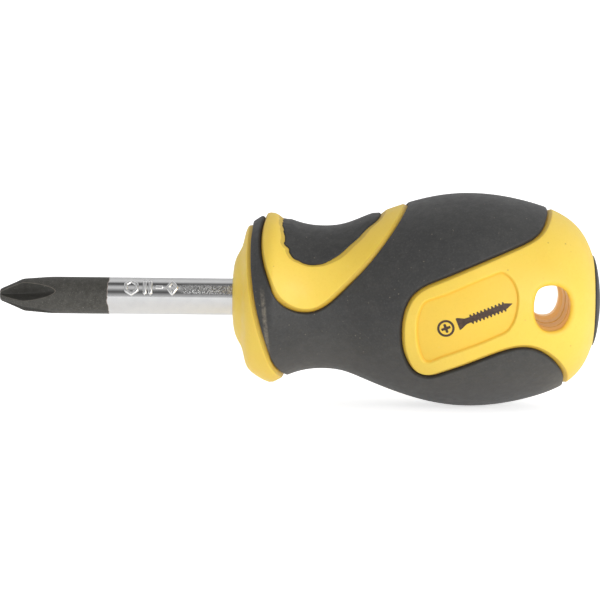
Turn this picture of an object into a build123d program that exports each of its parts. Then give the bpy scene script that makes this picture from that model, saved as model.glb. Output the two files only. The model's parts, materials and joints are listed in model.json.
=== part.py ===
from build123d import *
import os
from math import hypot, radians, tan

# Stubby screwdriver with a fixed PH2 blade and a multi-shot moulded handle.
# Frame: origin at the centre of the blade's end face, +X along the tool's axis
# from the tip to the butt, +Z towards the thumb pad, label panels facing +Y and -Y.
# Every outline that splits one plastic from another is a side view curve (x, z)
# drawn through the handle along Y, which is the way the mould opens.
# All dimensions are in mm, and all angles in degrees.

# ---------------------------------------------------------------- blade dimensions
BLADE_R = 3.0                   # shaft radius
STEM_R = 2.5                    # radius of the stem buried in the handle
STEM_START = 38.1               # the shaft steps down to the stem just inside the handle
STEM_END = 80.0                 # buried end of the bar
STEM_CHAMFER = 1.0
WING_START, WING_END = 60.0, 68.5   # forged torque wings, along the axis
WING_HALF_SPAN = 5.2
WING_T = 2.4                    # thickness of the wings
WING_CHAMFER = 1.6

TIP_R = 0.95                    # flat at the very tip
CONE_END, CONE_R = 3.9, 2.85    # end of the tip cone
TAPER_END = 9.0                 # the tip section reaches the shaft's full radius here
FLUTE_COUNT = 4
FLUTE_WHEEL_R = 18.8            # radius of the wheel that sinks each flute
FLUTE_WHEEL_DEPTH = 6.0         # depth of the wheel's V edge
FLUTE_ROOT_R = 0.70             # root radius of a flute at the end face
FLUTE_ANGLE = 92.0              # included angle of a flute
FLUTE_TURN = 13.0               # first flute's direction, from -Y towards +Z

# ---------------------------------------------------------------- handle dimensions
SOFT_SINK = 0.15                # soft plastic sits this much below the hard surface
POCKET_DEPTH = 1.8              # depth of the pockets that hold the soft plastic
RECESS_DEPTH = 0.4              # depth of the label recesses
REACH = 30.0                    # half length along Y of a prism through the handle

PAD_R = 7.4                     # radius of the butt pad
PAD_FLOOR = 95.3                # floor of the butt pad's pocket
PAD_CUTTER_L = 10.0             # the pocket's cutter runs out past the butt
HANDLE_END = 96.62              # rear end of the hard plastic
PAD_EDGE = 96.74                # end of the butt pad's straight side

GROOVE_PLACES = (52.0, 62.5, 70.0, 78.0)    # middles of the core's key grooves
GROOVE_DEPTH = 0.7
GROOVE_W = 1.8
GROOVE_OUTER_R = 20.0           # clear of the core everywhere

# ---------------------------------------------------------------- turned profiles (x, radius)
# Handle envelope, in three sections that meet end to end.
nose = [(37.96, 0.0), (38.01, 3.27), (38.17, 4.90), (38.56, 6.41), (39.08, 7.43), (39.45, 8.10)]
collar = [
    (39.45, 8.10), (39.68, 8.85), (39.90, 9.80), (40.16, 10.78), (40.56, 11.62), (41.18, 12.26),
    (41.83, 12.73), (42.48, 13.15), (43.14, 13.50), (43.79, 13.78), (44.36, 13.91)]
body = [
    (44.36, 13.91), (44.85, 13.80), (45.34, 13.56), (45.90, 13.221), (47.60, 12.445),
    (49.60, 11.828), (52.80, 11.500), (56.00, 11.838), (59.00, 12.921), (62.20, 14.225),
    (65.80, 15.515), (70.00, 16.658), (74.00, 17.263), (76.80, 17.365), (80.40, 17.140),
    (84.00, 16.550), (87.60, 15.622), (90.80, 14.411), (92.80, 13.221), (94.20, 11.951),
    (95.40, 10.276), (96.10, 8.820), (HANDLE_END, PAD_R)]

# Inner core: it swells with the handle and stops short of the butt pad.
core = [
    (43.0, 6.2), (45.5, 7.6), (49.0, 8.1), (55.0, 8.2), (60.0, 9.2), (65.0, 11.1),
    (70.0, 12.6), (76.0, 13.4), (82.0, 13.0), (87.0, 11.9), (91.0, 10.1), (94.0, 7.2)]

# Domed end of the butt pad, from its straight side to the crown.
pad_dome = [
    (PAD_EDGE, PAD_R), (96.86, 7.22), (97.08, 6.50), (97.42, 5.00), (97.70, 3.20),
    (97.86, 1.60), (97.93, 0.7), (97.97, 0)]

# ---------------------------------------------------------------- side view outlines (x, z)
# Front edge of the soft grip band, from above the handle to below it.
band_front = [
    (41.45, 22.0), (41.20, 14.0), (41.02, 11.41), (40.88, 10.34), (40.80, 8.98), (40.80, 7.38),
    (40.88, 5.56), (41.08, 3.56), (41.39, 1.41), (41.83, -0.87), (42.40, -3.21), (43.08, -5.56),
    (43.83, -7.81), (44.63, -9.74), (45.46, -11.03), (46.30, -12.05), (47.40, -13.40),
    (52.00, -22.0)]
# Rear edge of the band, which loops forwards round the label and the hanging hole.
band_rear = [
    (89.90, 22.0), (89.25, 15.8), (89.00, 14.53), (88.69, 13.85), (88.17, 12.85), (87.26, 11.72),
    (85.78, 10.70), (83.88, 9.84), (81.80, 8.98), (79.66, 8.11), (77.49, 7.20), (75.32, 6.28),
    (73.14, 5.34), (70.90, 4.40), (68.63, 3.37), (66.80, 1.89), (65.67, -0.17), (65.14, -2.55),
    (65.08, -4.98), (65.37, -7.20), (66.12, -9.22), (67.53, -11.11), (69.64, -11.72),
    (71.74, -11.09), (73.86, -10.23), (75.93, -9.38), (78.02, -8.48), (80.31, -7.53),
    (82.69, -6.78), (84.99, -6.55), (87.06, -7.02), (88.82, -8.04), (90.23, -9.31),
    (91.22, -10.61), (91.77, -11.74), (91.90, -12.80), (92.05, -14.20), (92.60, -22.0)]
# Outer edge of the hard rim round the thumb pad, open at the top.
thumb_rim = [
    (44.30, 22.0), (43.45, 15.0), (42.86, 12.90), (42.59, 11.98), (42.42, 10.78), (42.40, 9.36),
    (42.57, 7.74), (42.98, 5.95), (43.67, 3.98), (44.70, 1.85), (46.21, -0.05), (48.28, -1.22),
    (50.63, -1.47), (52.77, -0.63), (54.57, 0.88), (56.15, 2.51), (57.74, 4.18), (59.35, 5.94),
    (60.92, 7.85), (62.41, 9.82), (63.73, 11.64), (64.84, 13.27), (65.66, 14.56), (66.45, 15.90),
    (69.50, 22.0)]
# Edge of the thumb pad, open at the top.
thumb_edge = [
    (45.85, 22.0), (46.00, 14.0), (46.06, 12.24), (46.18, 10.97), (46.35, 10.01), (46.73, 8.92),
    (47.44, 7.83), (48.53, 6.89), (49.91, 6.32), (51.41, 6.15), (52.88, 6.39), (54.23, 6.97),
    (55.46, 7.77), (56.58, 8.70), (57.59, 9.64), (58.54, 10.55), (59.49, 11.46), (60.52, 12.37),
    (61.70, 13.32), (63.30, 14.65), (71.00, 22.0)]
# Hanging hole, closed, clockwise with +X to the right and +Z up.
hole = [
    (86.22, -0.39), (86.26, 0.88), (86.45, 1.83), (86.89, 2.76), (87.62, 3.35), (88.52, 3.61),
    (89.66, 3.62), (90.57, 3.38), (91.39, 2.89), (91.97, 2.18), (92.34, 1.30), (92.49, 0.25),
    (92.39, -1.02), (92.05, -2.14), (91.50, -3.03), (90.70, -3.66), (89.56, -3.96),
    (88.41, -3.86), (87.41, -3.31), (86.78, -2.49), (86.37, -1.43)]
# Label recess, closed.
recess = [
    (67.38, -4.05), (67.41, -2.42), (67.68, -0.94), (68.16, 0.27), (68.74, 0.99), (69.98, 1.57),
    (72.59, 2.55), (75.21, 3.71), (77.84, 4.84), (79.83, 5.59), (80.89, 5.87), (81.83, 5.49),
    (82.62, 4.72), (83.26, 3.61), (83.62, 2.44), (83.72, 1.12), (83.61, -0.20), (83.26, -1.66),
    (82.74, -2.87), (81.94, -3.84), (80.63, -4.55), (78.02, -5.72), (75.41, -6.79),
    (72.81, -7.83), (70.87, -8.67), (69.57, -9.18), (68.81, -9.00), (68.24, -8.12),
    (67.81, -6.93), (67.52, -5.55)]

# The hanging hole's wall in the core, along Y: (from, to, outward offset of the outline).
# Two mould pins form it, so it has fine parting grooves and one narrower end.
hole_steps = [
    (-18.0, -5.8, 0.0), (-5.8, -5.5, 0.10), (-5.5, 0.4, -0.06), (0.4, 0.7, 0.06),
    (0.7, 6.6, -0.20), (6.6, 7.0, 0.00), (7.0, 18.0, -0.68)]


# ---------------------------------------------------------------- shape helpers
def turned(*edges):
    """Solid of revolution about X under a chain of edges that starts and ends at (x, radius)."""
    first, last = edges[0] @ 0, edges[-1] @ 1
    rim = list(edges)
    if first.Y > 1e-9:
        rim.insert(0, Line((first.X, 0), (first.X, first.Y)))
    if last.Y > 1e-9:
        rim.append(Line((last.X, last.Y), (last.X, 0)))
    rim.append(Line((last.X, 0), (first.X, 0)))
    return revolve(make_face(Curve() + rim), axis=Axis.X, revolution_arc=360)


def chain(points):
    """Straight edges from point to point."""
    return [Line(start, end) for start, end in zip(points, points[1:])]


def envelope(drop=0):
    """The handle's outer surface, sunk by `drop` along the radius; if sunk, without the nose."""
    sections = [collar, body] if drop else [nose, collar, body]
    return turned(*[Spline([(x, r - drop) for x, r in section]) for section in sections])


def side_face(*edges):
    return Plane.XZ * make_face(Curve() + list(edges))


def open_face(points):
    """Side view face inside an open outline, closed by a straight line between its ends."""
    edge = Spline(points)
    return side_face(edge, Line(edge @ 1, edge @ 0))


def closed_face(points):
    return side_face(Spline(points, periodic=True))


def through(face):
    """Prism along Y through the whole handle."""
    return extrude(face, amount=REACH, both=True)


def grown(points, amount):
    """A clockwise closed outline's points moved outwards by `amount`, square to the outline."""
    moved = []
    for i, (x, z) in enumerate(points):
        (x0, z0), (x1, z1) = points[i - 1], points[(i + 1) % len(points)]
        dx, dz = x1 - x0, z1 - z0
        length = hypot(dx, dz)
        moved.append((x - amount * dz / length, z + amount * dx / length))
    return moved


# ---------------------------------------------------------------- blade
def make_flute_wheel():
    """V-edged wheel above the tip, its axle along Y, square to the bar."""
    axle_z = FLUTE_WHEEL_R + FLUTE_ROOT_R
    half_width = FLUTE_WHEEL_DEPTH * tan(radians(FLUTE_ANGLE / 2))
    apex = (0, FLUTE_ROOT_R)
    top = FLUTE_ROOT_R + FLUTE_WHEEL_DEPTH
    outline = Polyline(apex, (half_width, top), (-half_width, top), apex)
    profile = Plane.YZ * make_face(outline)
    return revolve(profile, axis=Axis((0, 0, axle_z), (0, 1, 0)), revolution_arc=360)


def make_blade():
    bar = turned(*chain([
        (0, TIP_R), (CONE_END, CONE_R), (TAPER_END, BLADE_R), (STEM_START, BLADE_R),
        (STEM_START, STEM_R), (STEM_END - STEM_CHAMFER, STEM_R),
        (STEM_END, STEM_R - STEM_CHAMFER)]))
    wheel = make_flute_wheel()
    for k in range(FLUTE_COUNT):
        # The wheel starts above +Z, so the first flute opens FLUTE_TURN above -Y.
        bar -= Rotation(90 - FLUTE_TURN + k * 360 / FLUTE_COUNT, 0, 0) * wheel
    wings = Pos((WING_START + WING_END) / 2, 0, 0) * Box(
        WING_END - WING_START, WING_T, 2 * WING_HALF_SPAN)
    wings = chamfer(wings.edges().filter_by(Axis.Y), WING_CHAMFER)
    return bar + wings


# ---------------------------------------------------------------- inner core
def core_radius(x):
    """Radius of the core at x, by linear interpolation between its stations."""
    return next(r0 + (r1 - r0) * (x - x0) / (x1 - x0)
                for (x0, r0), (x1, r1) in zip(core, core[1:]) if x0 <= x <= x1)


def groove_ring(x):
    """Ring that fills a key groove and reaches out past the core."""
    floor_r = core_radius(x) - GROOVE_DEPTH
    ring = Cylinder(GROOVE_OUTER_R, GROOVE_W) - Cylinder(floor_r, GROOVE_W)
    return Pos(x, 0, 0) * (Rotation(0, 90, 0) * ring)


def hole_step(y0, y1, offset):
    face = closed_face(grown(hole, offset))
    return Pos(0, (y0 + y1) / 2, 0) * extrude(face, amount=(y1 - y0) / 2, both=True)


def make_inner_core(blade):
    solid = turned(Spline(core))
    for x in GROOVE_PLACES:
        solid -= groove_ring(x)
    # The narrowest outline goes right through, then the wider steps open it up.
    narrowest = min(offset for _, _, offset in hole_steps)
    solid -= through(closed_face(grown(hole, narrowest)))
    for y0, y1, offset in hole_steps:
        if offset > narrowest:
            solid -= hole_step(y0, y1, offset)
    return solid - blade


# ---------------------------------------------------------------- soft plastic regions
def make_band_prism():
    """The grip band's side view region, less the thumb pad and its rim."""
    front, rear = Spline(band_front), Spline(band_rear)
    band = side_face(front, Line(front @ 1, rear @ 1), rear, Line(rear @ 0, front @ 0))
    return through(band) - through(open_face(thumb_rim))


# ---------------------------------------------------------------- handle body
def make_handle_body(full, soft_floor, band_prism, thumb_prism, blade):
    pocket_layer = full - soft_floor
    solid = full - ((band_prism & pocket_layer) + (thumb_prism & pocket_layer))
    solid -= through(closed_face(recess)) & (full - envelope(RECESS_DEPTH))
    solid -= Pos(PAD_FLOOR + PAD_CUTTER_L / 2, 0, 0) * (
        Rotation(0, 90, 0) * Cylinder(PAD_R, PAD_CUTTER_L))
    plain_core = turned(Spline(core))
    solid -= plain_core
    # The hard plastic fills the core's key grooves.
    for x in GROOVE_PLACES:
        solid += groove_ring(x) & plain_core
    solid -= through(closed_face(hole))
    return solid - blade


# ---------------------------------------------------------------- butt pad
def make_butt_pad():
    side = chain([(PAD_FLOOR, 0), (PAD_FLOOR, PAD_R), (HANDLE_END, PAD_R), (PAD_EDGE, PAD_R)])
    return turned(*side, Spline(pad_dome))


# ---------------------------------------------------------------- build and export
full = envelope()
soft_floor = envelope(POCKET_DEPTH)
soft_layer = envelope(SOFT_SINK) - soft_floor
band_prism = make_band_prism()
thumb_prism = through(open_face(thumb_edge))
blade = make_blade()

nodes = {
    "blade": blade,
    "inner_core": make_inner_core(blade),
    "handle_body": make_handle_body(full, soft_floor, band_prism, thumb_prism, blade),
    "grip_overmould": band_prism & soft_layer,
    "thumb_pad": thumb_prism & soft_layer,
    "butt_pad": make_butt_pad(),
}
os.makedirs("parts", exist_ok=True)
for name, shape in nodes.items():
    export_step(shape, f"parts/{name}.step")
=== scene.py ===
"""A screwdriver with a cross tip and a two-material handle, its floor, light and camera.

It lies along X: tip at x = 0, butt at x = 98 mm. +Z is up, the camera is on the -Y side.
Lengths are in mm unless marked otherwise and become metres when a mesh is made. The handle's
skin is drawn on a chart of half a turn, (s, t): s is the length along the profile, t the angle
times CHART_R. The chart is laid on the -Y half and mirrored to the +Y half.
"""
import bpy
import bmesh
import itertools
import json
import math
import numpy as np
from collections import namedtuple
from mathutils import Vector, Matrix
from mathutils.geometry import delaunay_2d_cdt

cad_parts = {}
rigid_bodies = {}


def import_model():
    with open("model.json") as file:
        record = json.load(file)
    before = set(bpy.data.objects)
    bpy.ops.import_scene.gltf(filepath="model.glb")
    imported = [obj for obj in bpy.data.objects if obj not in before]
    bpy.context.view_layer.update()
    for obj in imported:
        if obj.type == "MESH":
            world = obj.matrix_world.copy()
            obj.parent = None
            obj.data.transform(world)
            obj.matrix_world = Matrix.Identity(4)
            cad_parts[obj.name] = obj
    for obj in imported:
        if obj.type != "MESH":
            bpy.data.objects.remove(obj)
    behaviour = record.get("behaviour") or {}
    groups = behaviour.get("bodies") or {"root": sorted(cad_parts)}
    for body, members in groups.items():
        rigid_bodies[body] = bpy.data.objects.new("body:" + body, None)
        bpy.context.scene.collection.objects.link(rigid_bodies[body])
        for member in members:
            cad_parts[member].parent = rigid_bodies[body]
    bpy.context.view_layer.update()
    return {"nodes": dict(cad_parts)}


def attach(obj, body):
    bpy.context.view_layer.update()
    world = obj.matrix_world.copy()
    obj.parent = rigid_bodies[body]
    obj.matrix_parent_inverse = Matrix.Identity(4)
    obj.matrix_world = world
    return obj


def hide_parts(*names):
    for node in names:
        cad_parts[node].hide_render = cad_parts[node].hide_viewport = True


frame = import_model()
NODES = frame["nodes"]
MM = 0.001

# ============================================================ driving sizes
SHAFT_R = 3.0
STEM_R = 2.5            # thinner part of the bar, inside the handle
STEM_START = 38.6
STEM_END = 80.0
BORE_GAP = 0.02         # between the bar and the handle's bore
BUTT_R = 7.4
POCKET_DEPTH = 1.8      # pockets that hold the soft plastic
RECESS_DEPTH = 0.42     # label recess
CHART_R = 15.0          # chart millimetres per radian
T_MAX = CHART_R * math.pi / 2
HALF_COLUMNS = 150      # segments round half a turn

# Profile of the handle from nose to butt: (x, radius).
NOSE = [(37.96, 0.0), (38.01, 3.27), (38.17, 4.90), (38.56, 6.41), (39.08, 7.43), (39.45, 8.10)]
COLLAR = [
    (39.45, 8.10), (39.68, 8.85), (39.90, 9.80), (40.16, 10.78), (40.56, 11.62), (41.18, 12.26),
    (41.83, 12.73), (42.48, 13.15), (43.14, 13.50), (43.79, 13.78), (44.36, 13.91)]
BODY = [
    (44.36, 13.91), (44.85, 13.80), (45.34, 13.56), (45.90, 13.221), (47.60, 12.445),
    (49.60, 11.828), (52.80, 11.500), (56.00, 11.838), (59.00, 12.921), (62.20, 14.225),
    (65.80, 15.515), (70.00, 16.658), (74.00, 17.263), (76.80, 17.365), (80.40, 17.140),
    (84.00, 16.550), (87.60, 15.622), (90.80, 14.411), (92.80, 13.221), (94.20, 11.951),
    (95.40, 10.276), (96.10, 8.820), (96.62, BUTT_R)]

# Borders between the plastics, seen from the side: (x, z), running past the handle's outline.
# Yellow collar to grip.
COLLAR_EDGE = [
    (41.45, 22.0), (41.20, 14.0), (41.02, 11.41), (40.88, 10.34), (40.80, 8.98), (40.80, 7.38),
    (40.88, 5.56), (41.08, 3.56), (41.39, 1.41), (41.83, -0.87), (42.40, -3.21), (43.08, -5.56),
    (43.83, -7.81), (44.63, -9.74), (45.46, -11.03), (46.30, -12.05), (47.40, -13.40),
    (52.00, -22.0)]
# Grip to the yellow ring round the thumb pad.
RING_EDGE = [
    (44.30, 22.0), (43.45, 15.0), (42.86, 12.90), (42.59, 11.98), (42.42, 10.78), (42.40, 9.36),
    (42.57, 7.74), (42.98, 5.95), (43.67, 3.98), (44.70, 1.85), (46.21, -0.05), (48.28, -1.22),
    (50.63, -1.47), (52.77, -0.63), (54.57, 0.88), (56.15, 2.51), (57.74, 4.18), (59.35, 5.94),
    (60.92, 7.85), (62.41, 9.82), (63.73, 11.64), (64.84, 13.27), (65.66, 14.56),
    (66.45, 15.90), (69.50, 22.0)]
# Ring to thumb pad.
PAD_EDGE = [
    (46.90, 22.0), (46.65, 15.0), (46.50, 13.6), (46.34, 13.0), (46.00, 12.45), (46.17, 11.94),
    (46.36, 11.35), (46.50, 10.70), (46.50, 10.10), (46.36, 9.60), (46.50, 9.22), (47.02, 8.95),
    (47.26, 8.55), (47.18, 8.12), (47.40, 7.72), (47.95, 7.20), (48.48, 6.87), (49.10, 6.58),
    (49.75, 6.33), (50.45, 6.18), (51.30, 6.12), (52.23, 6.24), (53.00, 6.50), (53.70, 6.84),
    (54.40, 7.24), (55.20, 7.77), (55.90, 8.32), (56.60, 9.03), (57.38, 9.70), (58.16, 10.33),
    (58.78, 11.03), (59.42, 11.70), (60.28, 12.44), (60.95, 12.94), (61.45, 13.44),
    (61.92, 14.10), (62.60, 15.20), (66.50, 22.0)]
# Grip to the yellow rear.
REAR_EDGE = [
    (89.90, 22.0), (89.25, 15.8), (89.00, 14.53), (88.69, 13.85), (88.17, 12.85),
    (87.26, 11.72), (85.78, 10.70), (83.88, 9.84), (81.80, 8.98), (79.66, 8.11), (77.49, 7.20),
    (75.32, 6.28), (73.14, 5.34), (70.90, 4.40), (68.63, 3.37), (66.80, 1.89), (65.67, -0.17),
    (65.14, -2.55), (65.08, -4.98), (65.37, -7.20), (66.12, -9.22), (67.53, -11.11),
    (69.64, -11.72), (71.74, -11.09), (73.86, -10.23), (75.93, -9.38), (78.02, -8.48),
    (80.31, -7.53), (82.69, -6.78), (84.99, -6.55), (87.06, -7.02), (88.82, -8.04),
    (90.23, -9.31), (91.22, -10.61), (91.77, -11.74), (91.90, -12.80), (92.05, -14.20),
    (92.60, -22.0)]
# Closed outlines: (x, z).
HOLE_OUTLINE = [
    (86.22, -0.39), (86.26, 0.88), (86.45, 1.83), (86.89, 2.76), (87.62, 3.35), (88.52, 3.61),
    (89.66, 3.62), (90.57, 3.38), (91.39, 2.89), (91.97, 2.18), (92.34, 1.30), (92.49, 0.25),
    (92.39, -1.02), (92.05, -2.14), (91.50, -3.03), (90.70, -3.66), (89.56, -3.96),
    (88.41, -3.86), (87.41, -3.31), (86.78, -2.49), (86.37, -1.43)]
RECESS_OUTLINE = [
    (67.38, -4.05), (67.41, -2.42), (67.68, -0.94), (68.16, 0.27), (68.74, 0.99), (69.98, 1.57),
    (72.59, 2.55), (75.21, 3.71), (77.84, 4.84), (79.83, 5.59), (80.89, 5.87), (81.83, 5.49),
    (82.62, 4.72), (83.26, 3.61), (83.62, 2.44), (83.72, 1.12), (83.61, -0.20), (83.26, -1.66),
    (82.74, -2.87), (81.94, -3.84), (80.63, -4.55), (78.02, -5.72), (75.41, -6.79),
    (72.81, -7.83), (70.87, -8.67), (69.57, -9.18), (68.81, -9.00), (68.24, -8.12),
    (67.81, -6.93), (67.52, -5.55)]

# Cavity round the inner core, (x, radius), with grooves in it.
CORE = [
    (43.0, 6.2), (45.5, 7.6), (49.0, 8.1), (55.0, 8.2), (60.0, 9.2), (65.0, 11.1), (70.0, 12.6),
    (76.0, 13.4), (82.0, 13.0), (87.0, 11.9), (91.0, 10.1), (94.0, 7.2)]
GROOVE_X = (52.0, 62.5, 70.0, 78.0)
GROOVE_DEPTH = 0.7
GROOVE_HALF_WIDTH = 0.9


# ============================================================ curves and charts
Curve = namedtuple("Curve", "points closed")


def run_length(line):
    return np.r_[0, np.cumsum(np.hypot(*(line[1:] - line[:-1]).T))]


def at_lengths(wanted, lengths, line):
    return np.c_[np.interp(wanted, lengths, line[:, 0]), np.interp(wanted, lengths, line[:, 1])]


def spline(points, step, closed=False):
    """Cubic spline through points, with chord-length knots, sampled every `step` mm."""
    P = np.array(points, float)
    if closed:
        P = np.vstack([P, P[:1]])
    n = len(P)
    knots = run_length(P)
    gap = np.diff(knots)
    system = np.zeros((n, n))
    rhs = np.zeros((n, 2))
    for i in range(1, n - 1):
        system[i, i - 1:i + 2] = gap[i - 1], 2 * (gap[i - 1] + gap[i]), gap[i]
        rhs[i] = 6 * ((P[i + 1] - P[i]) / gap[i] - (P[i] - P[i - 1]) / gap[i - 1])
    if closed:
        system[0, 0], system[0, n - 1] = 1, -1
        system[n - 1, 0], system[n - 1, 1] = 2 * gap[0], gap[0]
        system[n - 1, n - 2], system[n - 1, n - 1] = gap[-1], 2 * gap[-1]
        rhs[n - 1] = 6 * ((P[1] - P[0]) / gap[0] - (P[-1] - P[-2]) / gap[-1])
    else:
        system[0, 0] = system[n - 1, n - 1] = 1
    bend = np.linalg.solve(system, rhs)
    u = np.linspace(0, knots[-1], max(4, int(knots[-1] / step) + 1))
    i = np.clip(np.searchsorted(knots, u, side="right") - 1, 0, n - 2)
    before, after = (u - knots[i])[:, None], (knots[i + 1] - u)[:, None]
    g = gap[i][:, None]
    line = ((bend[i] * after ** 3 + bend[i + 1] * before ** 3) / (6 * g)
            + (P[i] / g - bend[i] * g / 6) * after
            + (P[i + 1] / g - bend[i + 1] * g / 6) * before)
    return line[:-1] if closed else line


def smooth_line(line, sigma, step):
    """Gaussian smoothing of an open polyline sampled every `step`, ends held."""
    k = int(4 * sigma / step)
    weight = np.exp(-0.5 * (np.arange(-k, k + 1) * step / sigma) ** 2)
    weight /= weight.sum()
    padded = np.vstack([2 * line[0] - line[k:0:-1], line, 2 * line[-1] - line[-2:-k - 2:-1]])
    return np.c_[np.convolve(padded[:, 0], weight, "valid"),
                 np.convolve(padded[:, 1], weight, "valid")]


def resample(line, step):
    lengths = run_length(line)
    count = max(2, int(round(lengths[-1] / step)) + 1)
    return at_lengths(np.linspace(0, lengths[-1], count), lengths, line)


class Profile:
    """A revolved profile (x, r) with its length s and outward normals."""
    def __init__(self, line, step=0.02, sigma=0.0):
        line = resample(line, step)
        if sigma:
            line = smooth_line(line, sigma, step)
        self.x, self.r = line[:, 0], line[:, 1]
        self.s = run_length(line)
        dx, dr = np.gradient(self.x, self.s), np.gradient(self.r, self.s)
        n = np.hypot(dx, dr)
        self.normal_x, self.normal_r = -dr / n, dx / n

    def at(self, s):
        return np.interp(s, self.s, self.x), np.interp(s, self.s, self.r)

    def s_of(self, x):
        return np.interp(x, self.x, self.s)

    def to_chart(self, x, z):
        """Chart points of side view points."""
        r = np.interp(x, self.x, self.r)
        return np.c_[self.s_of(x), np.arcsin(np.clip(z / r, -1, 1)) * CHART_R]

    def point(self, s, t, height=0.0, side=1.0):
        """Chart (s, t) lifted along the normal; side 1 is the -Y half, -1 the +Y half."""
        x, r = self.at(s)
        x = x + np.interp(s, self.s, self.normal_x) * height
        r = r + np.interp(s, self.s, self.normal_r) * height
        a = np.asarray(t) / CHART_R
        return np.stack([x, -side * r * np.cos(a), r * np.sin(a)], -1)

    def curve(self, line, closed=False, step=0.28, jitter=None):
        """A finely sampled side view line (x, z) as a chart curve."""
        if not closed:
            inner = np.abs(line[:, 1]) < np.interp(line[:, 0], self.x, self.r)
            first = int(np.argmax(inner))
            last = len(inner) - 1 - int(np.argmax(inner[::-1]))
            line = line[first:last + 1]
        chart = self.to_chart(line[:, 0], line[:, 1])
        if closed:
            chart = np.vstack([chart, chart[:1]])
        else:
            chart[0, 1], chart[-1, 1] = np.sign(chart[0, 1]) * T_MAX, np.sign(chart[-1, 1]) * T_MAX
        k = self.at(chart[:, 0])[1] / CHART_R
        k_mid = (k[1:] + k[:-1]) / 2
        ds, dt = chart[1:, 0] - chart[:-1, 0], (chart[1:, 1] - chart[:-1, 1]) * k_mid
        lengths = np.r_[0, np.cumsum(np.hypot(ds, dt))]
        u = np.linspace(0, lengths[-1], max(3, int(round(lengths[-1] / step)) + 1))
        out = at_lengths(u, lengths, chart)
        if jitter is not None:
            out += self.across(Curve(out, False)) * jitter(out, u)[:, None]
        return Curve(out[:-1] if closed else out, closed)

    def across(self, curve):
        """Unit normals of a chart curve (to its left), as chart steps per mm."""
        points, closed = curve
        if closed:
            d = np.roll(points, -1, 0) - np.roll(points, 1, 0)
        else:
            d = np.gradient(points, axis=0)
        k = self.at(points[:, 0])[1] / CHART_R
        ds, dt = d[:, 0], d[:, 1] * k
        n = np.hypot(ds, dt)
        return np.c_[-dt / n, ds / n / k]

    def distance(self, points, curve):
        """Distance of 3-D points from a chart curve laid on the surface."""
        line = self.point(*curve.points.T)
        a = line if curve.closed else line[:-1]
        b = np.roll(line, -1, 0) if curve.closed else line[1:]
        ab = b - a
        squared = (ab ** 2).sum(1)
        out = np.empty(len(points))
        batch = 300
        for i in range(0, len(points), batch):
            p = points[i:i + batch, None, :]
            u = np.clip(((p - a) * ab).sum(2) / squared, 0, 1)
            out[i:i + batch] = np.sqrt((((a + u[..., None] * ab) - p) ** 2).sum(2).min(1))
        return out


def inside(points, polygon):
    """Which 2-D points lie inside the closed polygon."""
    x, y = points.T
    result = np.zeros(len(points), bool)
    for (ax, ay), (bx, by) in zip(polygon, np.roll(polygon, -1, 0)):
        if ay != by:
            result ^= ((ay > y) != (by > y)) & (x < (bx - ax) * (y - ay) / (by - ay) + ax)
    return result


def delaunay(points, edges):
    result = delaunay_2d_cdt([Vector(p) for p in points], edges, [], 0, 1e-6)
    return np.array([tuple(v) for v in result[0]]), np.array([f for f in result[2] if len(f) == 3])


def double_area(points, tris):
    a, b, c = (points[tris[:, k]] for k in range(3))
    return ((b[:, 0] - a[:, 0]) * (c[:, 1] - a[:, 1])
            - (b[:, 1] - a[:, 1]) * (c[:, 0] - a[:, 0]))


def wind(points, tris):
    """Winds every triangle anticlockwise."""
    wrong = double_area(points, tris) < 0
    tris[wrong] = tris[wrong][:, ::-1]
    return tris


GRID_RANK = 9.0         # rank of grid points; ring points rank by their offset
SOFT_RANK = -1.0        # rank of the points round soft curves


def thin_out(P, rank):
    """Indices of the points kept, lowest rank first, none closer than its rank allows."""
    cell = 0.12
    cells = np.floor(P / cell).astype(int).tolist()
    places = P.tolist()
    taken, kept = {}, []
    for i in np.argsort(rank, kind="stable"):
        need = 0.3 if rank[i] == GRID_RANK else 0.05
        reach = 1 if need <= cell else 3
        near = itertools.product(*(range(c - reach, c + reach + 1) for c in cells[i]))
        if not any(math.dist(places[i], q) < need for c in near for q in taken.get(c, ())):
            taken.setdefault(tuple(cells[i]), []).append(places[i])
            kept.append(i)
    return kept


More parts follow.
